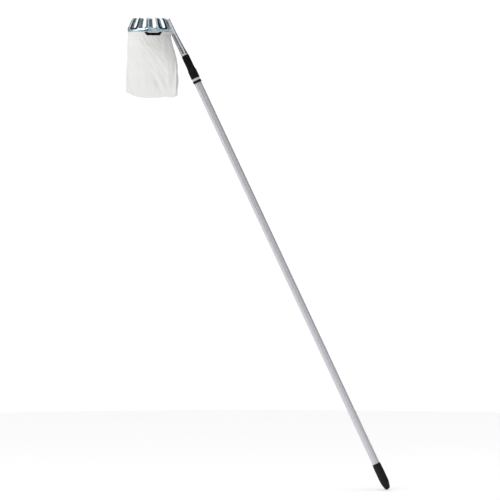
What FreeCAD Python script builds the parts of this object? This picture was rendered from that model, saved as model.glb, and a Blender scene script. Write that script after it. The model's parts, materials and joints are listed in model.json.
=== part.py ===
"""Fruit picker basket on a telescopic pole: crown with fingers, cotton bag, socket, twist lock and pole.

Units are millimetres. +Z is up, and the object is seen from its front along +Y. The origin is the middle
of the flat tip of the end cap. The pole leans towards -X by LEAN from the vertical, the crown's axis stays
vertical, and the crown's fingers lean in by the same angle, so the finger at +X lies along the pole.
"""
import FreeCAD, Part
import math
import os

os.makedirs("parts", exist_ok=True)
V = FreeCAD.Vector

# --- driving dimensions ---------------------------------------------------------------------------------
LEAN = 25.1  # degrees between the pole and the crown's axis
GAP = 0.3  # clearance between pieces that move past each other
FIT = 0.1  # radial clearance of a running fit

TUBE_R = 11.0  # outer pole tube
TUBE_WALL = 0.8
TUBE_BORE = TUBE_R - TUBE_WALL
INNER_R = 9.5  # inner pole tube
INNER_WALL = 0.8
INNER_BORE = INNER_R - INNER_WALL
TRAVEL = 1180.0  # how far the inner tube pulls out

# distances along the pole from its tip
CAP_TOP = 84.0
CAP_FLOOR = 30.0  # where the outer tube stands inside the cap
BAND_LOW = 1346.0
BAND_TOP = 1354.0
COLLAR_TOP = 1360.7
TUBE_TOP = 1366.0
BODY_TOP = 1380.0
COLLET_TOP = 1412.0
NUT_LOW = COLLAR_TOP + GAP
NUT_TOP = 1436.7
SOCKET_LOW = 1438.0
SOCKET_TOP = 1511.0  # where the tapered socket ends and the tongue goes on
TONGUE_TOP = 1556.0
CROWN_S = 1514.4  # where the pole's axis crosses the level of the crown's lower edge
PLUG_LOW = 130.0
INNER_LOW = 156.0
INNER_TOP = 1437.5
CONE_TOP = 1488.0  # the end of the plug that the socket is pressed onto

CAP_R = 13.2
TIP_R = 4.5
# the cap's outline from its tip: radius and distance
CAP_NOSE = ((TIP_R, 0.0), (7.0, 1.3), (8.6, 4.5), (10.0, 9.0), (11.4, 15.0), (12.5, 21.0), (CAP_R, 28.0))
CAP_END = ((CAP_R, 60.0), (12.7, 79.0), (12.3, 82.5), (11.5, CAP_TOP))
COLLAR_R = 12.0
THREAD_R = 12.0
THREAD_ROOT = 11.4
THREAD_PITCH = 3.0
NUT_R_LOW = 13.3  # over the thread
NUT_R_TOP = 11.5  # over the collet
NUT_FLUTES = 20
SOCKET_WALL = 1.2
SOCKET_FACE = 10.8  # from the pole's axis to the socket's straight side, towards the crown
# the tapered socket's sections: distance from the tip and outer radius
SOCKET_LEVELS = ((SOCKET_LOW, 10.7), (1447.0, 10.2), (1458.0, 9.7), (1475.0, 9.1), (1492.0, 8.65),
                 (SOCKET_TOP, 8.2))
SCREW_S = 1464.0
SCREW_R = 2.0
SCREW_Y = 9.5  # the socket's surface at the screw, and how far off the pole's axis the screw is
SCREW_X = -1.35
SCREW_REACH = 6.0
EAR_FROM, EAR_TO = 6.4, 24.0  # the ears' ends, in degrees from the pole's side of the crown
EAR_RIVET = 18.0
EAR_LOW, EAR_TOP = 0.6, 8.6
RIVET_R = 2.0
RIVET_Z = 4.6

# crown
FINGERS = 12
STEP = 360.0 / FINGERS
CROWN_R = 65.0
CROWN_T = 1.0
CROWN_OFFSET = 73.4  # from the crown's axis to the pole's axis at the crown's lower edge
BAND_H = 9.0  # the upright band below the fingers
FINGER_TOP = 36.0  # where the tips start to hook in
TIP_REACH = (3.0, 3.6)  # the hook's first leg, inwards and up
TIP_END = (5.8, 5.2)  # the hook's end, inwards and up
FINGER_W = 15.0
FINGER_W_TOP = 12.5
FLANGE = 5.0  # the flange turned in at the lower edge
RIB_R = 6.5
RIB_RISE = 2.0

# bag
HEM_R = 65.8
HEM_IN = 58.0
HEM_LOW = -9.3
HEM_TOP = -GAP
HOOP_R = 61.5
HOOP_WIRE = 1.5
HOOP_Z = -4.6
CLIPS = 6
CLIP_FIRST = 30.0  # degrees about the crown
CLIP_W = 5.0
CLIP_T = 0.7
SLIT_AT = -79.0  # degrees about the crown: the middle of the slit, a little towards the pole
SLIT_ARC = 52.0
SLIT_LOW, SLIT_TOP = -8.2, -1.3
BAND_T = 0.9
BAND_OPEN = 50.0  # the draw band stops short of the socket on both sides
NECK_R = 67.0
PIVOT_Z = -52.0  # the level that the hanging bag swings about
SWING_R = 67.5
CLOTH = 2.2
BAG_TURN = -38.0  # the bottom seam's direction about the vertical
# each level of the bag: height, half length and half width, and how far its middle is from the axis
BAG_LEVELS = (
    (PIVOT_Z, 70.6, 70.6, 0.0),
    (-75.0, 76.0, 71.0, 1.5),
    (-100.0, 84.0, 62.0, 5.0),
    (-140.0, 94.0, 45.0, 8.0),
    (-175.0, 100.0, 22.0, 8.8),
    (-194.0, 102.0, 5.0, 8.8),
)

SIN = math.sin(math.radians(LEAN))
COS = math.cos(math.radians(LEAN))
CROWN_Z = CROWN_S * COS
CROWN_X = -CROWN_S * SIN - CROWN_OFFSET
# how far the face of the finger at +X is from the pole's axis, less a hair so that the tongue clears it
FOOT = (CROWN_OFFSET - CROWN_R - BAND_H * SIN / COS) * COS - 0.1


# --- helpers --------------------------------------------------------------------------------------------
def turned(points):
    """A solid turned about Z from its half section, given as (radius, height)."""
    line = [V(r, 0, z) for r, z in points]
    face = Part.Face(Part.makePolygon(line + [line[0]]))
    solid = face.revolve(V(0, 0, 0), V(0, 0, 1), 360)
    return solid if solid.Volume > 0 else solid.reversed()


def ring(r_out, r_in, low, high):
    return turned([(r_in, low), (r_out, low), (r_out, high), (r_in, high)])


def rod(radius, start, end):
    """A round rod between two points."""
    way = end - start
    return Part.makeCylinder(radius, way.Length, start, way)


def box(low, high):
    return Part.makeBox(high[0] - low[0], high[1] - low[1], high[2] - low[2], V(*low))


def sector(arc, reach):
    """A wedge about +X, arc degrees wide."""
    half = math.radians(arc / 2)
    points = [V(0, 0, -30)]
    for i in range(9):
        a = -half + 2 * half * i / 8
        points.append(V(reach * math.cos(a), reach * math.sin(a), -30))
    return Part.Face(Part.makePolygon(points + [points[0]])).extrude(V(0, 0, 60))


def around(shape, angle):
    """A copy turned about Z."""
    copy = shape.copy()
    copy.rotate(V(0, 0, 0), V(0, 0, 1), angle)
    return copy


def on_pole(shape):
    """Places a shape that was made along Z, with its heights measured from the tip, on the leaning pole."""
    shape.rotate(V(0, 0, 0), V(0, 1, 0), -LEAN)
    return shape


def on_crown(shape):
    """Places a shape that was made about the crown's axis, with its lower edge at Z 0."""
    shape.translate(V(CROWN_X, 0, CROWN_Z))
    return shape


def pole_in_crown(shape):
    """Places a shape made along the pole in the crown's own coordinates."""
    shape = on_pole(shape)
    shape.translate(V(-CROWN_X, 0, -CROWN_Z))
    return shape


def sheet_section(points, thickness):
    """A closed section: a line of (radius, height) points, and the same line set off inwards."""
    inner = []
    for i, (r, z) in enumerate(points):
        before = points[max(i - 1, 0)]
        after = points[min(i + 1, len(points) - 1)]
        ways = []
        for a, b in ((before, (r, z)), ((r, z), after)):
            long = math.hypot(b[0] - a[0], b[1] - a[1])
            if long > 0:
                ways.append(((b[0] - a[0]) / long, (b[1] - a[1]) / long))
        nr = -sum(w[1] for w in ways)
        nz = sum(w[0] for w in ways)
        long = math.hypot(nr, nz)
        nr, nz = nr / long, nz / long
        share = -nr * ways[0][1] + nz * ways[0][0]
        inner.append((r + nr * thickness / share, z + nz * thickness / share))
    return list(points) + inner[::-1]


def save(name, shape):
    if not shape.isValid():
        raise RuntimeError(name + " is not a valid shape")
    shape.exportStep("parts/" + name + ".step")
    print(f"{name:18s} {len(shape.Solids)} solid(s) {shape.Volume / 1000:9.2f} cm3")


# --- pole: pieces that stay with the outer tube ---------------------------------------------------------
def outer_tube():
    return on_pole(ring(TUBE_R, TUBE_BORE, CAP_FLOOR, TUBE_TOP))


def end_cap():
    """A blunt-nosed moulding, closed at the tip, that the tube stands in."""
    bore = [(TUBE_R, CAP_TOP), (TUBE_R, CAP_FLOOR), (0.0, CAP_FLOOR)]
    return on_pole(turned([(0.0, 0.0)] + list(CAP_NOSE) + list(CAP_END) + bore))


def stop_band():
    """The flanged ring at the foot of the lock, a little waisted."""
    mid = (BAND_LOW + BAND_TOP) / 2
    return on_pole(turned([
        (TUBE_R, BAND_LOW), (12.7, BAND_LOW), (13.1, BAND_LOW + 0.8), (13.1, BAND_LOW + 2.2),
        (12.5, mid), (13.1, BAND_TOP - 2.2), (13.1, BAND_TOP - 0.8), (12.7, BAND_TOP),
        (TUBE_R, BAND_TOP),
    ]))


def lock_body():
    """The moulded body on the outer tube's end: a collar, a seat for the nut and the thread."""
    section = [(TUBE_R, BAND_TOP), (COLLAR_R, BAND_TOP)]
    low = COLLAR_TOP + 2.5
    turns = int((BODY_TOP - 1.0 - low) / THREAD_PITCH)
    for i in range(turns):
        at = low + i * THREAD_PITCH
        section += [(THREAD_R, at), (THREAD_ROOT, at + 0.8), (THREAD_ROOT, at + 1.4), (THREAD_R, at + 2.2)]
    section += [(THREAD_R, BODY_TOP), (TUBE_BORE, BODY_TOP), (TUBE_BORE, TUBE_TOP), (TUBE_R, TUBE_TOP)]
    return on_pole(turned(section))


def collet():
    """The tapered ring that the nut squeezes onto the inner tube: split once, and slotted from its top."""
    bore = INNER_R + FIT
    body = turned([
        (bore, BODY_TOP), (11.4, BODY_TOP), (11.4, BODY_TOP + 3.5), (10.4, BODY_TOP + 5.5),
        (10.2, COLLET_TOP), (bore, COLLET_TOP),
    ])
    body = body.cut(box((0, -0.8, BODY_TOP - 1), (20, 0.8, COLLET_TOP + 1)))
    for i in range(1, 6):
        slot = box((0, -0.6, BODY_TOP + 8.0), (20, 0.6, COLLET_TOP + 1))
        body = body.cut(around(slot, 60.0 * i))
    return on_pole(body)


def liner_ring():
    """The bush inside the outer tube's mouth that the inner tube runs in."""
    return on_pole(ring(TUBE_BORE, INNER_R + FIT, TUBE_TOP - 22.0, TUBE_TOP))


def lock_nut():
    """The twist sleeve: wide over the thread, narrower over the collet, fluted along its length."""
    bore = THREAD_R + GAP
    step = BODY_TOP + 5.0  # where the wide part ends
    body = turned([
        (bore, NUT_LOW), (NUT_R_LOW - 0.8, NUT_LOW), (NUT_R_LOW, NUT_LOW + 0.8), (NUT_R_LOW, step),
        (NUT_R_LOW - 0.4, step + 3.0), (NUT_R_TOP + 0.4, step + 6.0), (NUT_R_TOP, step + 9.0),
        (NUT_R_TOP - 0.1, NUT_TOP - 6.0), (NUT_R_TOP - 0.6, NUT_TOP - 0.8), (NUT_R_TOP - 1.2, NUT_TOP),
        (INNER_R + GAP, NUT_TOP), (INNER_R + GAP, COLLET_TOP + 1.0), (10.7, COLLET_TOP + 1.0),
        (10.8, step + 1.2), (bore, step - 1.2),
    ])
    flutes = []
    for radius, low, high in ((NUT_R_LOW, NUT_LOW + 3.0, step - 1.0), (NUT_R_TOP, step + 11.0, NUT_TOP - 4.0)):
        flute = rod(1.0, V(radius + 0.6, 0, low), V(radius + 0.6, 0, high))
        flutes += [around(flute, 360.0 * i / NUT_FLUTES) for i in range(NUT_FLUTES)]
    return on_pole(body.cut(Part.makeCompound(flutes)))


# --- pole: pieces that slide ----------------------------------------------------------------------------
def wear_ring():
    """The split bearing ring in the plug's groove. It slides in the outer tube."""
    low, high = PLUG_LOW + 3.0 + GAP, INNER_LOW - 3.0 - GAP
    body = ring(TUBE_BORE - FIT, 8.8 + FIT, low, high)
    return on_pole(body.cut(box((-20, -0.75, low - 1), (0, 0.75, high + 1))))


def guide_plug():
    """The plug pressed into the inner tube's lower end, grooved for the wear ring."""
    flange = TUBE_BORE - GAP
    return on_pole(turned([
        (0.0, PLUG_LOW), (flange, PLUG_LOW), (flange, PLUG_LOW + 3.0), (8.8, PLUG_LOW + 3.0),
        (8.8, INNER_LOW - 3.0), (flange, INNER_LOW - 3.0), (flange, INNER_LOW),
        (INNER_BORE, INNER_LOW), (INNER_BORE, INNER_LOW + 30.0), (0.0, INNER_LOW + 30.0),
    ]))


def taper(inset, low, high):
    """The socket's tapered shape between two distances, inset by a wall. Its side to the crown is straight."""
    levels = [(at, radius) for at, radius in SOCKET_LEVELS if low < at < high]
    for end in (low, high):
        for (a, r), (b, q) in zip(SOCKET_LEVELS, SOCKET_LEVELS[1:]):
            if a <= end <= b:
                levels.append((end, r + (q - r) * (end - a) / (b - a)))
                break
    wires = []
    for at, radius in sorted(levels):
        circle = Part.makeCircle(radius - inset, V(radius - SOCKET_FACE, 0, at))
        wires.append(Part.Wire([circle]))
    return Part.makeLoft(wires, True, False)


def screw_hole():
    return rod(SCREW_R, V(SCREW_X, SCREW_Y - SCREW_REACH, SCREW_S), V(SCREW_X, SCREW_Y + 3, SCREW_S))


def inner_tube():
    return on_pole(ring(INNER_R, INNER_BORE, INNER_LOW, INNER_TOP))


def tip_plug():
    """The plug pressed into the inner tube's upper end, with the tapered spigot that the socket goes on."""
    shank = turned([
        (0.0, INNER_TOP - 32.0), (INNER_BORE - 0.5, INNER_TOP - 32.0), (INNER_BORE, INNER_TOP - 30.0),
        (INNER_BORE, INNER_TOP), (INNER_R - FIT, INNER_TOP), (INNER_R - FIT, SOCKET_LOW + 1.0),
        (0.0, SOCKET_LOW + 1.0),
    ])
    spigot = taper(SOCKET_WALL + 0.05, SOCKET_LOW, CONE_TOP)
    return on_pole(shank.fuse(spigot).cut(screw_hole()).removeSplitter())


def socket_screw():
    """The self-tapping screw that holds the socket on the plug, from behind."""
    shank = rod(SCREW_R, V(0, -SCREW_REACH, 0), V(0, 0.4, 0))
    head = turned([(0, 0), (3.9, 0), (3.9, 0.8), (3.0, 1.9), (1.6, 2.4), (0, 2.4)])
    cross = box((-2.0, -0.4, 1.2), (2.0, 0.4, 3)).fuse(box((-0.4, -2.0, 1.2), (0.4, 2.0, 3)))
    head = head.cut(cross)
    head.rotate(V(0, 0, 0), V(1, 0, 0), -90)
    head.translate(V(0, 0.1, 0))
    screw = shank.fuse(head).removeSplitter()
    screw.translate(V(SCREW_X, SCREW_Y, SCREW_S))
    return on_pole(screw)


# --- crown ----------------------------------------------------------------------------------------------
def crown_line():
    """The outside of the crown's wall, from the flange at its lower edge to the tips."""
    top_r = CROWN_R - (FINGER_TOP - BAND_H) * SIN / COS
    return [
        (CROWN_R - FLANGE, 0.0), (CROWN_R, 0.0), (CROWN_R, BAND_H), (top_r, FINGER_TOP),
        (top_r - TIP_REACH[0], FINGER_TOP + TIP_REACH[1]), (top_r - TIP_END[0], FINGER_TOP + TIP_END[1]),
    ]


def gap_cutter():
    """One gap between two fingers: a U with wide corners, narrower at the top."""
    low, corner = BAND_H + 1.5, 6.0
    half = math.pi * CROWN_R / FINGERS - FINGER_W / 2
    half_top = math.pi * crown_line()[-1][0] / FINGERS - FINGER_W_TOP / 2
    high = FINGER_TOP + 12.0
    corners = [
        V(0, -half_top, high), V(0, -half, low + corner), V(0, -half + corner, low),
        V(0, half - corner, low), V(0, half, low + corner), V(0, half_top, high),
    ]
    bend = corner * (1 - math.sqrt(0.5))
    arcs = [
        Part.Arc(corners[1], V(0, -half + bend, low + bend), corners[2]),
        Part.Arc(corners[3], V(0, half - bend, low + bend), corners[4]),
    ]
    edges = [
        Part.makeLine(corners[0], corners[1]), arcs[0].toShape(), Part.makeLine(corners[2], corners[3]),
        arcs[1].toShape(), Part.makeLine(corners[4], corners[5]), Part.makeLine(corners[5], corners[0]),
    ]
    return around(Part.Face(Part.Wire(edges)).extrude(V(CROWN_R + 20, 0, 0)), STEP / 2)


def rib(radius, line):
    """A round-ended rod under one finger's face. Its crest stands RIB_RISE proud of the face."""
    sink = RIB_R - RIB_RISE
    low = V(CROWN_R - sink * COS - 0.5 * SIN, 0, BAND_H - sink * SIN + 1.0)
    top_r, top_z = line[3]
    short = 6.0  # the rib runs out this far below the hook
    high = V(top_r - sink * COS + short * SIN, 0, top_z - sink * SIN - short * COS)
    return rod(radius, low, high).fuse(Part.makeSphere(radius, low)).fuse(Part.makeSphere(radius, high))


def crown():
    line = crown_line()
    wall = turned(sheet_section(line, CROWN_T))
    inner = sheet_section(line, CROWN_T)[len(line):][::-1]
    inside = turned([(0, -20.0), (inner[0][0], -20.0)] + inner + [(0, inner[-1][1] + 40.0)])
    raised = rib(RIB_R, line).cut(inside)
    hollow = rib(RIB_R - CROWN_T, line)
    gap = gap_cutter()
    body = wall
    for i in range(FINGERS):
        body = body.fuse(around(raised, STEP * i))
    for i in range(FINGERS):
        body = body.cut(around(hollow, STEP * i)).cut(around(gap, STEP * i))
    for i in range(CLIPS):
        body = body.cut(around(clip_hole(), 360.0 * i / CLIPS + CLIP_FIRST))
    for hole in ear_holes():
        body = body.cut(hole)
    return on_crown(body.removeSplitter())


# --- socket ---------------------------------------------------------------------------------------------
def arch(s, half, rise):
    """One section of the tongue: an arch over the finger, open towards -X, with its feet on the face."""
    thick = SOCKET_WALL
    outer = [V(-FOOT, half, s), V(rise, 0, s), V(-FOOT, -half, s)]
    inner = [V(-FOOT, -half + thick, s), V(rise - thick, 0, s), V(-FOOT, half - thick, s)]
    return Part.Wire([
        Part.Arc(*outer).toShape(), Part.makeLine(outer[2], inner[0]),
        Part.Arc(*inner).toShape(), Part.makeLine(inner[2], outer[0]),
    ])


def socket():
    """A tapered tube of rolled sheet, with a tongue that goes on up one finger and two ears on the band."""
    radius = SOCKET_LEVELS[-1][1]
    tube = taper(0.0, SOCKET_LOW, SOCKET_TOP).cut(taper(SOCKET_WALL, SOCKET_LOW, SOCKET_TOP))
    rim = ring(SOCKET_LEVELS[0][1] + 0.3, SOCKET_LEVELS[0][1] - 0.6, SOCKET_LOW, SOCKET_LOW + 1.6)
    rim.translate(V(SOCKET_LEVELS[0][1] - SOCKET_FACE, 0, 0))
    tube = tube.fuse(rim).cut(screw_hole())
    tongue = Part.makeLoft([
        arch(SOCKET_TOP - 2.0, radius - 0.1, 2 * radius - SOCKET_FACE - 0.1),
        arch(SOCKET_TOP + 18.0, 7.0, 5.3),
        arch(TONGUE_TOP, 5.6, 5.2),
    ], True, True)
    body = pole_in_crown(tube).fuse(pole_in_crown(tongue))
    band = turned([
        (CROWN_R, EAR_LOW), (CROWN_R + SOCKET_WALL, EAR_LOW),
        (CROWN_R + SOCKET_WALL, EAR_TOP), (CROWN_R, EAR_TOP),
    ])
    for side in (-1, 1):
        ear = band.common(around(sector(EAR_TO - EAR_FROM, CROWN_R * 2), side * (EAR_FROM + EAR_TO) / 2))
        body = body.fuse(ear)
        y0, y1 = sorted((side * (radius - SOCKET_WALL), side * radius))
        web = Part.Face(Part.makePolygon([
            V(64.0, y0, EAR_TOP), V(64.0, y0, EAR_LOW), V(66.6, y0, -9.0), V(76.0, y0, -9.0),
            V(69.5, y0, EAR_TOP), V(64.0, y0, EAR_TOP),
        ])).extrude(V(0, y1 - y0, 0))
        body = body.fuse(web)
    inside = turned([(0, 0.0), (CROWN_R, 0.0), (CROWN_R, BAND_H), (0, BAND_H)])
    inside = inside.fuse(turned([(0, -12.0), (HEM_R - 1.5, -12.0), (HEM_R - 1.5, 0.0), (0, 0.0)]))
    body = body.cut(inside)
    for hole in ear_holes():
        body = body.cut(hole)
    return on_crown(body.removeSplitter())


def ear_holes():
    holes = []
    for side in (-1, 1):
        hole = rod(RIVET_R, V(CROWN_R - 3, 0, RIVET_Z), V(CROWN_R + 4, 0, RIVET_Z))
        holes.append(around(hole, side * EAR_RIVET))
    return holes


def ear_rivets():
    """Two rivets, each with a domed head outside and a set end inside."""
    out = CROWN_R + SOCKET_WALL
    rivets = []
    for side in (-1, 1):
        shank = rod(RIVET_R, V(CROWN_R - CROWN_T - 0.2, 0, 0), V(out + 0.2, 0, 0))
        head = turned([(0, 0), (3.6, 0), (3.3, 0.8), (2.2, 1.5), (0, 1.8)])
        head.rotate(V(0, 0, 0), V(0, 1, 0), 90)
        head.translate(V(out + 0.12, 0, 0))
        tail = turned([(0, 0), (3.0, 0), (2.6, 0.9), (0, 1.0)])
        tail.rotate(V(0, 0, 0), V(0, 1, 0), -90)
        tail.translate(V(CROWN_R - CROWN_T - 0.12, 0, 0))
        one = shank.fuse(head).fuse(tail).removeSplitter()
        one.translate(V(0, 0, RIVET_Z))
        rivets.append(around(one, side * EAR_RIVET))
    return on_crown(Part.makeCompound(rivets))


# --- bag ------------------------------------------------------------------------------------------------
def hoop_ring():
    ring_wire = Part.makeTorus(HOOP_R, HOOP_WIRE)
    ring_wire.translate(V(0, 0, HOOP_Z))
    return ring_wire


def clip_hole():
    """A slot through the crown's flange for one clip."""
    return box((HOOP_R - 0.9, -CLIP_W / 2 - 0.2, -2.0), (HOOP_R + 0.1, CLIP_W / 2 + 0.2, 2.0))


def hem_clips():
    """Bent strips that hang the hoop from the crown's flange."""
    clips = []
    wire = HOOP_WIRE
    for i in range(CLIPS):
        x = HOOP_R - 0.8
        stem = box((x, -CLIP_W / 2, HOOP_Z + wire - 0.4), (x + CLIP_T, CLIP_W / 2, 2.0))
        top = box((x - 3.0, -CLIP_W / 2, CROWN_T), (x + CLIP_T, CLIP_W / 2, CROWN_T + CLIP_T))
        loop = rod(wire + CLIP_T, V(HOOP_R, -CLIP_W / 2, HOOP_Z), V(HOOP_R, CLIP_W / 2, HOOP_Z))
        one = stem.fuse(top).fuse(loop)
        one = one.cut(hoop_ring())
        clips.append(around(one.removeSplitter(), 360.0 * i / CLIPS + CLIP_FIRST))
    return on_crown(Part.makeCompound(clips))


def hem_hoop():
    """The wire ring inside the hem."""
    return on_crown(hoop_ring())


def socket_room():
    """The room the socket and its two webs take at the hem, with a little clearance."""
    half = SOCKET_FACE + GAP
    room = pole_in_crown(rod(half, V(0, 0, SOCKET_LOW), V(0, 0, TONGUE_TOP)))
    return room.fuse(box((HEM_R - 2.0, -half, -12.0), (HEM_R + 4.0, half, 0.0)))


def bag_hem():
    """The casing sewn round the hoop: a hollow ring, open at each clip and at a slit on the front."""
    wall = 1.0
    casing = ring(HEM_R, HEM_IN, HEM_LOW, HEM_TOP)
    casing = casing.cut(ring(HEM_R - wall, HEM_IN + wall, HEM_LOW + wall, HEM_TOP - wall))
    for i in range(CLIPS):
        slit = box((HOOP_R - 1.6, -CLIP_W / 2 - GAP, -3.0), (HOOP_R + 0.8, CLIP_W / 2 + GAP, 1.0))
        casing = casing.cut(around(slit, 360.0 * i / CLIPS + CLIP_FIRST))
    room = turned([(0, -12.0), (HEM_R + 4, -12.0), (HEM_R + 4, 0.0), (0, 0.0)]).common(socket_room())
    return on_crown(casing.cut(room).cut(around(hem_slit(), SLIT_AT)))


def hem_slit():
    """The opening in the front of the casing, where the draw band shows."""
    return ring(HEM_R + 2, HEM_R - 2.5, SLIT_LOW, SLIT_TOP).common(sector(SLIT_ARC, 90.0))


def draw_band():
    """The dark band in the casing, outside the hoop, that takes up the hem's slack."""
    low, high = SLIT_LOW + 0.3, SLIT_TOP - 0.3
    return on_crown(ring(HEM_R - 1.1, HEM_R - 1.1 - BAND_T, low, high).cut(sector(BAND_OPEN, 90.0)))


def bag_neck():
    """The bag's upper part, which keeps to the hem. Below, it is part of a ball about the swing's centre."""
    top, bend = HEM_LOW - GAP, PIVOT_Z + 27.0
    outer, inner = [(NECK_R, top), (NECK_R, bend)], [(NECK_R - CLOTH, top), (NECK_R - CLOTH, bend)]
    for i in range(9):
        rise = 25.0 - 5.0 * i
        outer.append((math.sqrt(SWING_R ** 2 - rise ** 2), PIVOT_Z + rise))
        inner.append((math.sqrt((SWING_R - CLOTH) ** 2 - rise ** 2), PIVOT_Z + rise))
    room = pole_in_crown(rod(NUT_R_LOW + 1.0, V(0, 0, NUT_LOW), V(0, 0, TONGUE_TOP)))
    return on_crown(turned(outer + inner[::-1]).cut(room))


def bag_shape(inset):
    """The bag's body, lofted through ovals whose long sides run along the bottom seam."""
    wires = []
    for z, long, short, shift in BAG_LEVELS:
        floor = inset if z == BAG_LEVELS[-1][0] else 0.0
        short = max(short - inset, 1.2)
        oval = Part.Ellipse(V(0, 0, 0), max(long - inset, short + 0.01), short)
        wire = Part.Wire([oval.toShape()])
        wire.rotate(V(0, 0, 0), V(0, 0, 1), BAG_TURN)
        wire.translate(V(shift, 0, z + floor))
        wires.append(wire)
    return Part.makeLoft(wires, True, False)


def picking_bag():
    """The hanging sack, open at the top, where it laps over the neck."""
    return on_crown(bag_shape(0.0).cut(bag_shape(CLOTH)))


PIECES = {
    "outer_tube": outer_tube,
    "end_cap": end_cap,
    "stop_band": stop_band,
    "lock_body": lock_body,
    "collet": collet,
    "liner_ring": liner_ring,
    "lock_nut": lock_nut,
    "wear_ring": wear_ring,
    "guide_plug": guide_plug,
    "inner_tube": inner_tube,
    "tip_plug": tip_plug,
    "socket": socket,
    "socket_screw": socket_screw,
    "ear_rivets": ear_rivets,
    "crown": crown,
    "hem_clips": hem_clips,
    "hem_hoop": hem_hoop,
    "draw_band": draw_band,
    "bag_hem": bag_hem,
    "bag_neck": bag_neck,
    "picking_bag": picking_bag,
}

for name, make in PIECES.items():
    save(name, make())
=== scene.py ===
"""The looks of a fruit picker: a toothed crown with a cotton bag, a socket, a twist lock and a long pole.

Everything is in metres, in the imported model's own frame, and is placed from that model. Lengths along the
pole are measured from its tip. The crown's pieces are made about the crown's upright axis, from its lower
edge, with angles measured from +X.
"""

import json
from math import atan2, copysign, cos, exp, log1p, pi, radians, sin, sqrt, tan, tau as TAU

import bmesh
import bpy
import numpy as np
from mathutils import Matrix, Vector, noise


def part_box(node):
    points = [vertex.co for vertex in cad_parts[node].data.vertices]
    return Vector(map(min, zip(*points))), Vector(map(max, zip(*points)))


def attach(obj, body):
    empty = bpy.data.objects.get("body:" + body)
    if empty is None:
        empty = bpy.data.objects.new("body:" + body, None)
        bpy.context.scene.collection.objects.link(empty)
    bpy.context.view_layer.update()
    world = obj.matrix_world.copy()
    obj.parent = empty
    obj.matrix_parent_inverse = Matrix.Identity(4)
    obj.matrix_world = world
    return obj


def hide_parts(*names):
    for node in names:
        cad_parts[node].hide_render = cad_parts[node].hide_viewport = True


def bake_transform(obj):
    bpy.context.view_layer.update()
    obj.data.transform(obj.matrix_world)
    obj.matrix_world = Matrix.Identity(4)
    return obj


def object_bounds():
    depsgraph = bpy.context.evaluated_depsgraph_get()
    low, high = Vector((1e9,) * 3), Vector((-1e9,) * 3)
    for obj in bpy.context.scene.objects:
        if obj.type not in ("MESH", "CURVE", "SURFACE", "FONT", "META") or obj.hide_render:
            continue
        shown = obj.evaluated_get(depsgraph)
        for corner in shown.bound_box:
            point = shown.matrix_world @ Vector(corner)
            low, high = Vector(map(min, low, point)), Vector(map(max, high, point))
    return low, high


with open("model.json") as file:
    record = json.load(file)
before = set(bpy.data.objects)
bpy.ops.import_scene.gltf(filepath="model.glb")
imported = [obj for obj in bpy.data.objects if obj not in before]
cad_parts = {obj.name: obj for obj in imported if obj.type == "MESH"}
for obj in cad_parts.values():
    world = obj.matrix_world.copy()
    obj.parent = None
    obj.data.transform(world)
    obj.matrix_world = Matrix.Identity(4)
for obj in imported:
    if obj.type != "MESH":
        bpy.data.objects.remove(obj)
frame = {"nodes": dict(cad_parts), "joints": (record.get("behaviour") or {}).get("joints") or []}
CAD_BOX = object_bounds()

MM = 0.001


# --- places, read from the frame ---
def joint(name):
    return next(j for j in frame["joints"] if j["name"] == name)


def along(node):
    """The lowest and highest point of a node, measured along the pole from its tip."""
    heights = [v.co.dot(POLE) for v in frame["nodes"][node].data.vertices]
    return min(heights), max(heights)


POLE = Vector(joint("pole_extend")["axis"]).normalized()
SIDE = Vector((0.0, 1.0, 0.0))
OUT = SIDE.cross(POLE)  # square to the pole, away from the crown

crown_low, crown_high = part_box("crown")
# the middle of the crown's lower edge
EDGE = Vector(((crown_low.x + crown_high.x) / 2, (crown_low.y + crown_high.y) / 2, crown_low.z))


def about(r, angle, z):
    """A point about the crown's axis, at a height above its lower edge."""
    return EDGE + Vector((r * cos(angle), r * sin(angle), z))


def apart(a, b=0.0):
    """The angle between two directions, from 0 to half a turn."""
    return abs((a - b + pi) % TAU - pi)


# --- mesh helpers ---
def smooth_step(a, b, x):
    t = min(max((x - a) / (b - a), 0.0), 1.0)
    return t * t * (3 - 2 * t)


def piece(name, points, faces, sharp=None):
    """A smooth-shaded mesh object. Edges that bend by more than sharp degrees are shown sharp."""
    mesh = bpy.data.meshes.new(name)
    mesh.from_pydata([tuple(p) for p in points], [], faces)
    mesh.validate()
    mesh.shade_smooth()
    if sharp:
        mesh.set_sharp_from_angle(angle=radians(sharp))
    made = bpy.data.objects.new(name, mesh)
    bpy.context.scene.collection.objects.link(made)
    return made


def grid_faces(rows, columns, closed_columns=True):
    """Quads between the rows of a grid, with the last column joined to the first if it is closed."""
    faces = []
    for j in range(rows - 1):
        for i in range(columns if closed_columns else columns - 1):
            k = (i + 1) % columns
            faces.append((j * columns + i, j * columns + k, (j + 1) * columns + k, (j + 1) * columns + i))
    return faces


def soften(section, radius, steps=4):
    """A line of (radius, height) points with its corners rounded."""
    line = [Vector(p) for p in section]
    out = [line[0]]
    for before, corner, after in zip(line, line[1:], line[2:]):
        back, on = before - corner, after - corner
        cut = min(radius, back.length * 0.45, on.length * 0.45)
        a, b = corner + back.normalized() * cut, corner + on.normalized() * cut
        for i in range(steps + 1):
            t = i / steps
            out.append(a * (1 - t) ** 2 + corner * 2 * t * (1 - t) + b * t * t)
    return out + [line[-1]]


def lathe(name, section, columns=96, shape=None):
    """A piece turned about the pole from (radius, length) points. shape may change each point's radius."""
    points = []
    for r, s in section:
        for i in range(columns):
            a = TAU * i / columns
            reach = shape(r, s, a) if shape else r
            points.append(POLE * s + OUT * (reach * cos(a)) + SIDE * (reach * sin(a)))
    return piece(name, points, grid_faces(len(section), columns), sharp=50)


def add_modifier(target, kind, **settings):
    made = target.modifiers.new(kind.lower(), kind)
    for key, value in settings.items():
        setattr(made, key, value)
    return made


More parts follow.
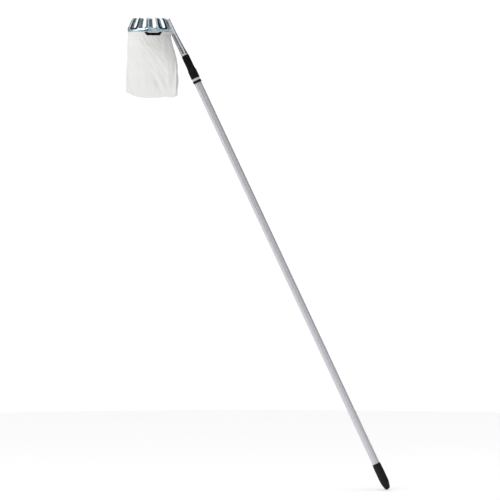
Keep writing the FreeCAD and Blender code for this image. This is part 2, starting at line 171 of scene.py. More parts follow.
# --- material helpers ---
class Nodes:
    """A node tree, with short calls for the nodes used here."""

    def __init__(self, tree):
        self.tree = tree

    def node(self, kind, inputs=(), **settings):
        made = self.tree.nodes.new("ShaderNode" + kind)
        for key, value in settings.items():
            setattr(made, key, value)
        for key, value in dict(inputs).items():
            self.plug(value, made.inputs[key])
        return made

    def plug(self, value, socket):
        """Links a socket, or sets a plain value."""
        if isinstance(value, bpy.types.NodeSocket):
            self.tree.links.new(value, socket)
        else:
            socket.default_value = value

    def math(self, operation, a, b=0.0):
        return self.node("Math", {0: a, 1: b}, operation=operation).outputs[0]

    def spread(self, value, low, high, to_low=0.0, to_high=1.0):
        inputs = {"Value": value, 1: low, 2: high, 3: to_low, 4: to_high}
        return self.node("MapRange", inputs).outputs[0]

    def blend(self, share, one, two):
        """Goes from one colour to the other."""
        made = self.node("Mix", data_type="RGBA")
        self.plug(share, made.inputs[0])
        for index, value in ((6, one), (7, two)):
            self.plug((*value, 1.0) if isinstance(value, tuple) else value, made.inputs[index])
        return made.outputs[2]

    def ramp(self, value, stops):
        """A colour ramp over 0 to 1. Each stop is a place and a grey."""
        made = self.node("ValToRGB", {"Fac": value})
        points = made.color_ramp.elements
        while len(points) < len(stops):
            points.new(0.5)
        for point, (at, grey) in zip(points, stops):
            point.position = at
            point.color = (grey, grey, grey, 1.0)
        return made.outputs["Color"]


class Paint(Nodes):
    """A material, started with its shader's plain values."""

    def __init__(self, name, colour, rough, **sockets):
        self.material = bpy.data.materials.new(name)
        self.material.use_nodes = True
        super().__init__(self.material.node_tree)
        self.shader = self.tree.nodes["Principled BSDF"]
        self.set("Base Color", (*colour, 1.0))
        self.set("Roughness", rough)
        for key, value in sockets.items():
            self.set(key.replace("_", " "), value)
        self.material.diffuse_color = (*colour, 1.0)

    def set(self, socket, value):
        self.shader.inputs[socket].default_value = value

    def place(self, scale=(1, 1, 1), lean=0.0):
        """Coordinates in metres, scaled, and turned so that Z runs along the leaning pole if asked."""
        source = self.node("TexCoord").outputs["Object"]
        turned = self.node("Mapping", {"Vector": source, "Rotation": (0, lean, 0)}).outputs[0]
        return self.node("Mapping", {"Vector": turned, "Scale": scale}).outputs[0]

    def noise(self, where, scale, detail=3.0, rough=0.5):
        inputs = {"Vector": where, "Scale": scale, "Detail": detail, "Roughness": rough}
        return self.node("TexNoise", inputs).outputs["Fac"]

    def colour(self, socket):
        self.tree.links.new(socket, self.shader.inputs["Base Color"])

    def rough(self, socket):
        self.tree.links.new(socket, self.shader.inputs["Roughness"])

    def bump(self, height, distance, strength=1.0):
        made = self.node("Bump", {"Height": height, "Distance": distance, "Strength": strength})
        self.tree.links.new(made.outputs[0], self.shader.inputs["Normal"])


def coat(target, paint):
    """Gives an object one material."""
    target.data.materials.clear()
    target.data.materials.append(paint.material)


LEAN = atan2(POLE.x, POLE.z)  # negative: the pole leans towards -X


# --- materials ---
def zinc_plate():
    """Semi-bright zinc on pressed steel: a cool tint, faint cloudy spangle and fine rolling lines."""
    p = Paint("zinc_plate", (0.50, 0.60, 0.67), 0.18, Metallic=1.0)
    where = p.place()
    cloud = p.noise(where, 90.0, 4.0, 0.6)
    p.colour(p.blend(p.spread(cloud, 0.35, 0.68), (0.40, 0.54, 0.63), (0.66, 0.82, 0.92)))
    grain = p.noise(p.place((1, 1, 14)), 900.0, 2.0)
    p.rough(p.spread(p.math("ADD", cloud, grain), 0.7, 1.4, 0.06, 0.18))
    p.bump(p.math("ADD", p.noise(where, 260.0, 3.0), p.math("MULTIPLY", grain, 0.15)), 0.0004, 0.35)
    return p


def bright_plate():
    """Bright plating on rolled sheet, with faint draw lines along the pole."""
    p = Paint("bright_plate", (0.78, 0.81, 0.85), 0.08, Metallic=1.0)
    lines = p.noise(p.place((1, 1, 0.02), -LEAN), 1500.0, 2.0)
    cloud = p.noise(p.place(), 70.0, 3.0)
    p.colour(p.blend(p.spread(cloud, 0.35, 0.65), (0.68, 0.72, 0.77), (0.84, 0.87, 0.90)))
    p.rough(p.spread(p.math("ADD", lines, cloud), 0.7, 1.3, 0.05, 0.13))
    p.bump(p.math("ADD", lines, p.math("MULTIPLY", p.noise(p.place(), 120.0), 2.0)), 0.00005, 0.25)
    return p


def pole_coat():
    """A satin silver-grey coat with a fine metallic grain, a little duller where hands slide on it."""
    p = Paint("pole_coat", (0.56, 0.55, 0.59), 0.34, Metallic=0.35, Coat_Weight=0.2, Coat_Roughness=0.2)
    where = p.place()
    grain = p.noise(where, 5200.0, 1.0)
    handled = p.noise(p.place((1, 1, 0.12), -LEAN), 22.0, 4.0)
    shade = p.blend(p.spread(grain, 0.3, 0.7), (0.53, 0.52, 0.56), (0.64, 0.63, 0.67))
    p.colour(p.blend(p.spread(handled, 0.4, 0.75, 0.0, 0.25), shade, (0.52, 0.51, 0.54)))
    p.rough(p.spread(p.math("ADD", handled, p.math("MULTIPLY", grain, 0.3)), 0.4, 1.0, 0.28, 0.42))
    p.bump(p.math("ADD", grain, p.noise(where, 700.0)), 0.0001, 0.25)
    return p


def drawn_aluminium():
    """Bare aluminium with fine draw lines along the tube."""
    p = Paint("drawn_aluminium", (0.70, 0.71, 0.73), 0.3, Metallic=1.0)
    lines = p.noise(p.place((1, 1, 0.01), -LEAN), 1800.0, 2.0)
    p.colour(p.blend(lines, (0.62, 0.63, 0.65), (0.76, 0.77, 0.79)))
    p.rough(p.spread(lines, 0.3, 0.7, 0.22, 0.38))
    p.bump(lines, 0.0001, 0.3)
    return p


def moulded(name, dark, light, rough, gloss):
    """Moulded plastic with a fine spark-eroded grain and slightly uneven gloss."""
    p = Paint(name, dark, rough, Specular_IOR_Level=gloss)
    where = p.place()
    grain = p.noise(where, 1600.0, 3.0, 0.6)
    patch = p.noise(where, 45.0, 3.0)
    p.colour(p.blend(p.spread(p.math("ADD", grain, patch), 0.7, 1.3), dark, light))
    p.rough(p.spread(patch, 0.3, 0.7, rough - 0.07, rough + 0.08))
    p.bump(grain, 0.0002, 0.3)
    return p


def canvas():
    """Plain-woven unbleached cotton: crossing threads with slubs, a little sheen, light through the cloth."""
    # shade is a darker tone of the cotton, used for the soil and for the painted shade between the threads
    light, shade = (0.81, 0.805, 0.79), (0.74, 0.73, 0.71)
    p = Paint("canvas", light, 0.88, Sheen_Weight=0.25, Sheen_Roughness=0.5, Subsurface_Weight=0.12)
    p.set("Subsurface Radius", (0.004, 0.0036, 0.003))
    p.set("Subsurface Scale", 0.4)
    cloth = p.node("TexCoord").outputs["UV"]
    threads = []
    for turn, thick in ((0.0, 1.0), (pi / 2, 1.12)):
        way = p.node("Mapping", {"Vector": cloth, "Rotation": (0, 0, turn)}).outputs[0]
        inputs = {"Vector": way, "Scale": 620.0 * thick, "Distortion": 0.6, "Detail": 1.0,
                  "Detail Scale": 0.3}
        threads.append(p.node("TexWave", inputs, wave_profile="SIN").outputs["Fac"])
    weave = p.math("MULTIPLY", *threads)
    slub = p.noise(p.node("Mapping", {"Vector": cloth, "Scale": (1, 0.12, 1)}).outputs[0], 700.0, 2.0)
    soil = p.noise(p.place(), 16.0, 5.0, 0.6)
    tone = p.blend(p.spread(soil, 0.42, 0.72, 0.0, 0.35), light, shade)
    # painted shade: the colour is darkened towards the shade tone in the gaps between the threads
    tone = p.blend(p.spread(weave, 0.0, 0.5, 0.22, 0.0), tone, shade)
    p.colour(p.blend(p.spread(slub, 0.55, 0.8, 0.0, 0.3), tone, (0.90, 0.88, 0.84)))
    p.bump(p.math("ADD", weave, p.math("MULTIPLY", slub, 0.5)), 0.0003, 0.5)
    return p


def dark_webbing():
    """Near-black woven elastic with fine ribs round the band."""
    p = Paint("dark_webbing", (0.003, 0.003, 0.006), 0.85, Specular_IOR_Level=0.12)
    where = p.place()
    ribs = p.node("TexWave", {"Vector": where, "Scale": 420.0, "Distortion": 0.4}, bands_direction="Z")
    fibre = p.noise(where, 1500.0, 3.0)
    p.colour(p.blend(p.spread(fibre, 0.3, 0.7), (0.0015, 0.0015, 0.004), (0.006, 0.006, 0.012)))
    p.bump(p.math("ADD", ribs.outputs["Fac"], fibre), 0.0003, 0.6)
    return p


def thread():
    """Twisted cotton thread."""
    p = Paint("thread", (0.80, 0.78, 0.73), 0.7, Sheen_Weight=0.2)
    twist = p.noise(p.place(), 3500.0, 2.0)
    p.colour(p.blend(twist, (0.70, 0.68, 0.62), (0.86, 0.84, 0.80)))
    p.bump(twist, 0.0001, 0.4)
    return p


def wire():
    """Drawn steel wire with faint spots."""
    p = Paint("wire", (0.50, 0.51, 0.52), 0.3, Metallic=1.0)
    spots = p.noise(p.place(), 500.0, 3.0)
    p.colour(p.blend(p.spread(spots, 0.35, 0.65), (0.42, 0.43, 0.44), (0.58, 0.59, 0.60)))
    p.rough(p.spread(spots, 0.3, 0.7, 0.22, 0.42))
    return p


def pale_floor():
    """A pale matt floor with a weak glow, so that it is nearly as white as the background."""
    p = Paint("pale_floor", (0.96, 0.96, 0.96), 0.7, Specular_IOR_Level=0.1, Emission_Strength=0.10,
              Emission_Color=(1.0, 1.0, 1.0, 1.0))
    p.colour(p.blend(p.noise(p.place(), 2.0), (0.95, 0.95, 0.95), (0.97, 0.97, 0.97)))
    return p


# --- crown ---
FINGERS = 12
CROWN_R = 65.0 * MM
CROWN_SHEET = 1.1 * MM
CROWN_BEND = 1.6 * MM  # the radius of the bend from the flange into the band
FLANGE_R = 60.0 * MM  # the flange's inner edge
BAND_TOP = 7.5 * MM  # where the wall starts to lean in
KNEE = 1.4 * MM  # how soft that bend is
GAP_LOW = 10.5 * MM  # the floor of the gaps between the fingers
GAP_CORNER = 6.5 * MM
HOOK_FROM = 36.0 * MM  # where the tips start to hook in
HOOK_LONG = 7.5 * MM
HOOK_TURN = radians(52.0)
FINGER_W = 14.0 * MM
FINGER_W_TOP = 12.2 * MM
RIDGE = 1.7 * MM  # how far the rib pressed into each finger stands out
GAP_WIDE = TAU * CROWN_R / FINGERS - FINGER_W
FINGER_COLUMNS = 12
CORNER_COLUMNS = 9
FLANGE_ROWS, BAND_ROWS, FINGER_ROWS, HOOK_ROWS = 5, 12, 16, 8


def crown_radius(z):
    """The wall's radius: upright in the band, then leaning in by the pole's angle, with a soft knee."""
    over = KNEE * log1p(exp(min((z - BAND_TOP) / KNEE, 50.0)))
    return CROWN_R - over * tan(-LEAN)


def crown_profile():
    """(radius, height, outward lean of the surface) from the gap's floor to the tip, by equal steps."""
    rows = []
    start = GAP_LOW + GAP_CORNER
    for i in range(FINGER_ROWS + 1):
        z = start + (HOOK_FROM - start) * i / FINGER_ROWS
        rows.append((crown_radius(z), z, -LEAN))
    r, z, _ = rows[-1]
    step = HOOK_LONG / HOOK_ROWS
    for i in range(HOOK_ROWS):
        lean = -LEAN + HOOK_TURN * (i + 0.5) / HOOK_ROWS
        r -= step * sin(lean)
        z += step * cos(lean)
        rows.append((r, z, lean))
    return rows


def finger_width(z):
    return FINGER_W + (FINGER_W_TOP - FINGER_W) * smooth_step(GAP_LOW, HOOK_FROM, z)


def ridge(across, z):
    """How far the pressed rib stands out, for a place across the finger from -1 to 1."""
    fold = 1.0 - sqrt(across * across + 0.03) / sqrt(1.03)
    low = smooth_step(1.5 * MM, 11.0 * MM, z)
    high = 1 - 0.75 * smooth_step(33.0 * MM, 39.5 * MM, z)
    return RIDGE * fold * low * high


def crown_columns():
    """The columns of one sector: ("finger", place across it) and ("gap", share of the way over)."""
    fingers = [("finger", -1 + 2 * i / FINGER_COLUMNS) for i in range(FINGER_COLUMNS + 1)]
    corner = []
    for i in range(1, CORNER_COLUMNS + 1):
        corner.append(GAP_CORNER * (1 - cos(pi / 2 * i / CORNER_COLUMNS)) / GAP_WIDE)
    level = [corner[-1] + (1 - 2 * corner[-1]) * i / 4 for i in (1, 2, 3)]
    far_corner = [1 - share for share in reversed(corner)]
    return fingers + [("gap", share) for share in corner + level + far_corner]


def crown_angle(kind, share, z):
    half = finger_width(z) / 2 / crown_radius(min(z, HOOK_FROM))
    if kind == "finger":
        return share * half
    return half + share * (TAU / FINGERS - 2 * half)


def gap_floor(kind, share):
    """The height at which a column of the band ends: the gap's floor, rising round its corners."""
    if kind == "finger":
        return GAP_LOW + GAP_CORNER
    into = min(share, 1 - share) * GAP_WIDE
    if into >= GAP_CORNER:
        return GAP_LOW
    return GAP_LOW + GAP_CORNER - sqrt(GAP_CORNER ** 2 - (GAP_CORNER - into) ** 2)


def build_crown():
    """Flange, band, fingers and hooked tips, as one bent sheet."""
    columns = crown_columns()
    points, faces = [], []

    def put(r, z, angle, lean=0.0, proud=0.0):
        """One point, standing proud of the wall square to its lean."""
        r += proud * cos(lean)
        z += proud * sin(lean)
        points.append(about(r, angle, z))
        return len(points) - 1

    strips = []  # every column as its list of point numbers, going round the crown
    for n in range(FINGERS):
        for kind, share in columns:
            turn = TAU * n / FINGERS
            strip = []
            base = crown_angle(kind, share, GAP_LOW)
            for i in range(FLANGE_ROWS):
                t = i / FLANGE_ROWS
                strip.append(put(FLANGE_R + (CROWN_R - CROWN_BEND - FLANGE_R) * t, 0.0, turn + base))
            for i in range(3):
                a = pi / 2 * i / 3
                r = CROWN_R - CROWN_BEND * (1 - sin(a))
                strip.append(put(r, CROWN_BEND * (1 - cos(a)), turn + base))
            top = gap_floor(kind, share)
            for i in range(BAND_ROWS + 1):
                z = CROWN_BEND + (top - CROWN_BEND) * i / BAND_ROWS
                proud = ridge(share, z) if kind == "finger" else 0.0
                lean = -LEAN * smooth_step(7.0 * MM, 12.0 * MM, z)
                angle = crown_angle(kind, share, max(z, GAP_LOW))
                strip.append(put(crown_radius(z), z, turn + angle, lean, proud))
            if kind == "finger":
                rows = crown_profile()
                for i, (r, z, lean) in enumerate(rows[1:], 1):
                    left = (len(rows) - 1 - i) / HOOK_ROWS
                    round_tip = 1.0 if left > 0.5 else 0.80 + 0.20 * sqrt(1 - (1 - left / 0.5) ** 2)
                    half = finger_width(z) / 2 / max(r, 1e-6) * (r / crown_radius(min(z, HOOK_FROM)))
                    angle = share * half * round_tip * (crown_radius(min(z, HOOK_FROM)) / r) ** 0.5
                    strip.append(put(r, z, turn + angle, lean, ridge(share, z)))
            strips.append((kind, strip))
    count = len(strips)
    for i in range(count):
        one, two = strips[i][1], strips[(i + 1) % count][1]
        for j in range(min(len(one), len(two)) - 1):
            faces.append((one[j], two[j], two[j + 1], one[j + 1]))
    crown = piece("crown_plate", points, faces)
    add_modifier(crown, "SOLIDIFY", thickness=CROWN_SHEET, offset=-1.0, use_even_offset=True)
    add_modifier(crown, "BEVEL", width=0.22 * MM, segments=2, limit_method="ANGLE",
                 angle_limit=radians(50))
    coat(crown, ZINC)
    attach(crown, "head")
    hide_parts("crown")


# --- pole ---
ON_TUBE = 11.02 * MM  # the inner radius of what sits on the outer tube
# the cap's outline from its nose: radius and height above the tip, in millimetres
CAP_OUTLINE = (
    (4.5, 0.0), (7.0, 1.3), (8.6, 4.5), (10.0, 9.0), (11.4, 15.0), (12.5, 21.0), (13.2, 28.0), (13.2, 60.0),
    (12.7, 79.0), (12.3, 83.0),
)


def build_cap():
    """The end cap: a blunt nose, a long plain body that narrows a little, and a moulding line."""
    low, high = along("end_cap")
    outline = [(r * MM, low + s * MM) for r, s in CAP_OUTLINE]
    mouth = [(11.5 * MM, high), (ON_TUBE, high), (ON_TUBE, high - 3 * MM)]
    section = [(0.0, low), (3.0 * MM, low)] + soften(outline + mouth, 3.0 * MM)

    def moulding_line(r, s, a):
        return r + 0.12 * MM * exp(-(sin(a - 0.4) / 0.02) ** 2) * (r > 7 * MM)

    cap = lathe("end_cap_shell", section, 160, moulding_line)
    coat(cap, CAP_PLASTIC)
    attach(cap, "pole")
    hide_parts("end_cap")


def build_tube(name, node, body, paint):
    """A plain drawn tube, as long, wide and thick as its node."""
    low, high = along(node)
    spans = [v.co - POLE * v.co.dot(POLE) for v in frame["nodes"][node].data.vertices]
    bore, rim = min(span.length for span in spans), max(span.length for span in spans)
    tube = lathe(name, [(bore, low), (rim, low), (rim, high), (bore, high), (bore, low)], 128)
    weld(tube)
    coat(tube, paint)
    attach(tube, body)
    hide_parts(node)


def build_stop_band():
    """The waisted black flange at the foot of the lock."""
    low, high = along("stop_band")
    mid = (low + high) / 2
    rim, waist, flange = 13.1 * MM, 12.5 * MM, 2.4 * MM
    section = soften([
        (ON_TUBE, low), (rim, low), (rim, low + flange), (waist, mid), (rim, high - flange), (rim, high),
        (ON_TUBE, high),
    ], 0.9 * MM)
    band = lathe("stop_flange", section, 96)
    coat(band, BLACK_PLASTIC)
    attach(band, "pole")
    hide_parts("stop_band")


NUT_RIBS = 20
RIB_DEEP = 0.6 * MM
NUT_R_LOW = 13.3 * MM  # over the thread
NUT_R_TOP = 11.5 * MM  # over the collet
NUT_BORE = 12.3 * MM  # its inner radius
NUT_MOUTH = 9.8 * MM  # and at the hole that the inner tube comes out of
NUT_STEP = 24.0 * MM  # how long the wide part is


def build_nut():
    """The twist sleeve: wide over the thread, narrower over the collet, with rounded ribs on both parts."""
    low, high = along("lock_nut")
    step = low + NUT_STEP
    section = soften([
        (NUT_BORE, low + 2 * MM), (NUT_BORE, low), (NUT_R_LOW, low), (NUT_R_LOW, step),
        (NUT_R_TOP, step + 8 * MM), (NUT_R_TOP - 0.1 * MM, high - 5 * MM), (NUT_R_TOP - 0.7 * MM, high),
        (NUT_MOUTH, high), (NUT_MOUTH, high - 8 * MM),
    ], 2.0 * MM)
    long = []
    for a, b in zip(section, section[1:]):  # the long parts get rows for the ribs to fade in and out
        a, b = Vector(a), Vector(b)
        cuts = max(1, round((b - a).length / (1.2 * MM)))
        long += [a.lerp(b, i / cuts) for i in range(cuts)]
    long.append(Vector(section[-1]))

    def ribs(r, s, a):
        if r < NUT_R_TOP - 0.8 * MM or (r <= NUT_BORE + 0.1 * MM and s < low + 3 * MM):
            return r
        wide = smooth_step(low + 2 * MM, low + 4 * MM, s) * (1 - smooth_step(step - 3 * MM, step - 1 * MM, s))
        narrow = smooth_step(step + 10 * MM, step + 12 * MM, s)
        narrow *= 1 - smooth_step(high - 6 * MM, high - 4 * MM, s)
        valley = (0.5 - 0.5 * cos(NUT_RIBS * a)) ** 1.6
        return r - RIB_DEEP * (wide + narrow) * valley

    nut = lathe("twist_sleeve", long, NUT_RIBS * 12, ribs)
    coat(nut, BLACK_PLASTIC)
    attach(nut, "nut")
    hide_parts("lock_nut")


# --- socket ---
SOCKET_FACE = 10.8 * MM  # from the pole's axis to the socket's straight side, towards the crown
SOCKET_WALL = 1.2 * MM
RIM_TOP = 1439.6 * MM  # below this is the rolled rim, which is centred on the pole
SOCKET_COLUMNS = 96
TONGUE_LOW = 1509.0 * MM
TONGUE_TOP = 1556.0 * MM
TONGUE_COLUMNS, TONGUE_ROWS = 32, 24
TONGUE_FOOT = 6.5 * MM  # how far behind the pole's axis it is widest
TONGUE_HALF = (8.15 * MM, 5.6 * MM)  # its half-width at the bottom and at the top
TONGUE_RISE = (5.55 * MM, 5.2 * MM)  # and how far it stands out from the pole's axis
# the tapered part's sections: distance along the pole and outer radius, in millimetres
SOCKET_LEVELS = (
    (1438, 11.0), (1439.4, 11.0), (1440.2, 10.7), (1442, 10.6), (1447, 10.2), (1458, 9.7), (1475, 9.1),
    (1492, 8.65), (1511, 8.2),
)
EAR_FROM, EAR_TO = radians(4.0), radians(24.0)
EAR_LOW, EAR_TOP = 0.6 * MM, 8.6 * MM
EAR_COLUMNS, EAR_ROWS = 24, 8


def build_socket():
    """A tapered tube of rolled sheet, the tongue that goes on up one finger, and the two riveted ears."""
    points, faces = [], []

    def shell(rows, columns, closed):
        """Adds a grid of points, given row by row."""
        first = len(points)
        for row in rows:
            points.extend(row)
        faces.extend(tuple(first + n for n in face) for face in grid_faces(len(rows), columns, closed))

    def on_pole(x, y, s):
        return POLE * s + OUT * x + SIDE * y

    def circle(r, s):
        middle = r - SOCKET_FACE if s > RIM_TOP else -0.1 * MM
        turns = [TAU * i / SOCKET_COLUMNS for i in range(SOCKET_COLUMNS)]
        return [on_pole(middle + r * cos(a), r * sin(a), s) for a in turns]

    outer = []
    for (s, r), (s_next, r_next) in zip(SOCKET_LEVELS, SOCKET_LEVELS[1:]):
        cuts = max(1, round((s_next - s) / 3))
        for i in range(cuts):
            t = i / cuts
            outer.append(((r + (r_next - r) * t) * MM, (s + (s_next - s) * t) * MM))
    outer.append((SOCKET_LEVELS[-1][1] * MM, SOCKET_LEVELS[-1][0] * MM))
    shell([circle(r, s) for r, s in outer], SOCKET_COLUMNS, True)
    rows = []
    for j in range(TONGUE_ROWS + 1):
        t = j / TONGUE_ROWS
        s = TONGUE_LOW + (TONGUE_TOP - TONGUE_LOW) * t
        ease = 1 - (1 - t) ** 1.6
        half = TONGUE_HALF[0] + (TONGUE_HALF[1] - TONGUE_HALF[0]) * ease
        rise = TONGUE_RISE[0] + (TONGUE_RISE[1] - TONGUE_RISE[0]) * ease
        end = max((t - 0.93) / 0.07, 0.0)  # the tip is rounded off
        half *= 0.75 + 0.25 * sqrt(max(1 - end ** 2, 0.0))
        row = []
        for i in range(TONGUE_COLUMNS + 1):
            a = pi * (i / TONGUE_COLUMNS - 0.5) * 1.08
            x = rise - (rise + TONGUE_FOOT) * (1 - cos(a)) ** 1.15
            row.append(on_pole(x, half * sin(a), s))
        rows.append(row)
    shell(rows, TONGUE_COLUMNS + 1, False)
    ear_r = CROWN_R + SOCKET_WALL
    for side in (-1, 1):
        rows = []
        for j in range(EAR_ROWS + 1):
            row = []
            for i in range(EAR_COLUMNS + 1):
                t = i / EAR_COLUMNS
                a = side * (EAR_FROM + (EAR_TO - EAR_FROM) * t)
                tip = smooth_step(0.86, 1.0, t) * 1.6 * MM  # the end's corners are rounded
                z = EAR_LOW + tip + (EAR_TOP - EAR_LOW - 2 * tip) * j / EAR_ROWS
                row.append(about(ear_r, a, z))
            rows.append(row if side > 0 else row[::-1])
        shell(rows, EAR_COLUMNS + 1, False)
    sleeve = piece("socket_sleeve", points, faces, sharp=60)
    add_modifier(sleeve, "SOLIDIFY", thickness=SOCKET_WALL, offset=-1.0)
    coat(sleeve, BRIGHT)
    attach(sleeve, "head")
    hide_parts("socket")


# --- bag ---
ROUND = 168  # columns of cloth, counted round from the near end of the bottom seam
ROWS = 64
GIRTH = 426.0 * MM  # of the flat tube of canvas
DROP = 191.5 * MM  # from the hem to the bottom seam
BAG_TOP_R = 63.7 * MM
BAG_TOP_Z = -8.8 * MM
SEAM_TURN = radians(-34.0)
SEAM_WAY = Vector((cos(SEAM_TURN), sin(SEAM_TURN), 0))
PANEL_WAY = Vector((-sin(SEAM_TURN), cos(SEAM_TURN), 0))  # square to the seam, to the back
HANG = Vector((0.045, 0, -1))  # the canvas hangs a little towards the pole
BAG_LEAN = 9.5 * MM  # how far towards the pole its lower half is first laid
LAID_SHORT = 0.985  # each column starts at this share of its length
FILL = 0.4  # how hard the air inside props the bag open, against gravity's 9.81
STIFF = 0.4  # how much the canvas resists bending
SIDE_STIFF = 0.02  # and at the side seams, where it folds freely
SHEAR = 0.35  # how much it resists going askew
JITTER = 0.4 * MM  # the spread of the random shift that each point starts with
SMOOTH = 3  # passes of smoothing over all of the cloth at the end
SEAM_SMOOTH = 14  # and along the side seams
SEAM_WIDE = 0.94  # how wide the bottom seam lies, as a share of the flat cloth
SEAM_STIFF = 0.5  # how much the doubled bottom seam keeps straight
KEEP = 0.05  # how much the canvas goes back to the shape it was pressed to, at each step
STEPS = 110
PASSES = 11  # over the lengths, in each step
STEP_TIME = 1 / 120
DRAG = 0.975  # how much of its speed the cloth keeps from step to step
POLE_ROOM = 12.4 * MM  # how near to the pole's axis the cloth may come
PANEL_GAP = 0.5 * MM  # how near each panel may come to the plane between the two
# how the canvas was cut at the bottom: place along the seam, and how much longer than DROP, in millimetres
CUT = (
    (-1.0, -17.5), (-0.65, -2.8), (-0.3, 8.9), (0.0, 10.0), (0.27, 7.8), (0.45, 2.5), (0.65, 1.7),
    (0.87, 2.0), (1.0, -7.0),
)


def seam_place(i):
    """Where a column meets the bottom seam, from -1 at its far left end to 1 at its near right end."""
    turn = TAU * i / ROUND
    return 1 - 2 * min(turn, TAU - turn) / pi


def column_drop(i):
    """A column's length, read from the cut."""
    at = seam_place(i)
    short = slit_sag(TAU * i / ROUND + SEAM_TURN)
    for (a, low), (b, high) in zip(CUT, CUT[1:]):
        if at <= b:
            return DROP - short + (low + (high - low) * (at - a) / (b - a)) * MM
    return DROP - short + CUT[-1][1] * MM


def oval(half, girth):
    """ROUND points evenly spaced round an ellipse of one half-width and a given girth, from its right end."""
    a = np.linspace(0, TAU, 721)

    def ring(depth):
        line = np.stack([half * np.cos(a), depth * np.sin(a)], axis=1)
        run = np.concatenate([[0], np.cumsum(np.linalg.norm(np.diff(line, axis=0), axis=1))])
        return line, run

    thin, deep = 0.0, half
    for _ in range(24):
        depth = (thin + deep) / 2
        line, run = ring(depth)
        if run[-1] < girth:
            thin = depth
        else:
            deep = depth
    at = np.arange(ROUND) * run[-1] / ROUND
    return np.stack([np.interp(at, run, line[:, 0]), np.interp(at, run, line[:, 1])], axis=1)


def bag_start():
    """The cloth's first shape: ovals that go over from the hem's circle to the flat bottom seam."""
    grid = np.zeros((ROWS, ROUND, 3))
    for j in range(ROWS):
        t = j / (ROWS - 1)
        # how far this row has gone over from the round hem to the flat seam
        flat = 0.90 * smooth_step(-0.08, 0.62, t) + 0.10 * t - 0.03 * (1 - t)
        girth = TAU * BAG_TOP_R + (GIRTH - TAU * BAG_TOP_R) * smooth_step(0.0, 0.3, t)
        ring = oval(BAG_TOP_R + (GIRTH * 0.2499 - BAG_TOP_R) * flat, girth) if j else None
        lean = BAG_LEAN * (smooth_step(0.05, 0.5, t) - 0.1 * smooth_step(0.85, 1.0, t))
        for i in range(ROUND):
            a = TAU * i / ROUND
            x, y = ring[i] if j else (BAG_TOP_R * cos(a), BAG_TOP_R * sin(a))
            y += 0.6 * MM * copysign(t, sin(a))  # the panels start a little apart
            z = BAG_TOP_Z - slit_sag(a + SEAM_TURN) - t * column_drop(i) * LAID_SHORT
            grid[j, i] = Vector((lean, 0, z)) + SEAM_WAY * x + PANEL_WAY * y
    return grid


def cloth_links():
    """Pairs of grid points, the lengths they keep and how stiffly, in batches that share no point."""
    index = np.arange(ROWS * ROUND).reshape(ROWS, ROUND)
    right, right_2 = np.roll(index, -1, axis=1), np.roll(index, -2, axis=1)
    across = GIRTH / ROUND
    down = np.array([column_drop(i) for i in range(ROUND)]) / (ROWS - 1)
    fold = np.minimum(np.arange(ROUND) % (ROUND // 2), -np.arange(ROUND) % (ROUND // 2))
    flat = np.where(np.roll(fold, -1) <= 1, SIDE_STIFF, STIFF)
    ones = np.ones((ROWS, ROUND))
    links = []
    for p in (0, 1):
        upper, lower = slice(p, ROWS - 1, 2), slice(p + 1, ROWS, 2)
        wide = (np.arange(ROUND) // 2) % 2 == p
        tall = np.array([j for j in range(ROWS - 2) if (j // 2) % 2 == p])
        links.append((index[:, wide], right_2[:, wide], (ones * across * 2)[:, wide], (ones * flat)[:, wide]))
        links.append((index[tall], index[tall + 2], (ones * down * 2)[tall], ones[tall] * STIFF))
        slant = ones * np.hypot(across, down)
        links.append((index[upper], right[lower], slant[upper], ones[upper] * SHEAR))
        links.append((right[upper], index[lower], slant[upper], ones[upper] * SHEAR))
        links.append((index[:, p::2], right[:, p::2], (ones * across)[:, p::2], ones[:, p::2]))
        links.append((index[upper], index[lower], (ones * down)[upper], ones[upper]))
    return [(a.ravel(), b.ravel(), rest.reshape(-1, 1), hold.reshape(-1, 1)) for a, b, rest, hold in links]


def grid_normals(grid):
    """The outward direction at each point."""
    around = np.roll(grid, -1, axis=1) - np.roll(grid, 1, axis=1)
    normals = np.cross(np.gradient(grid, axis=0), around)
    return normals / np.maximum(np.linalg.norm(normals, axis=2, keepdims=True), 1e-9)


def clear_of_pole(points):
    """Moves points out of the room that the socket and the lock take."""
    axis, start = np.array(POLE), np.array(-EDGE)
    foot = start + np.outer((points - start) @ axis, axis)
    off = points - foot
    far = np.linalg.norm(off, axis=1, keepdims=True)
    return np.where(far < POLE_ROOM, foot + off / np.maximum(far, 1e-9) * POLE_ROOM, points)


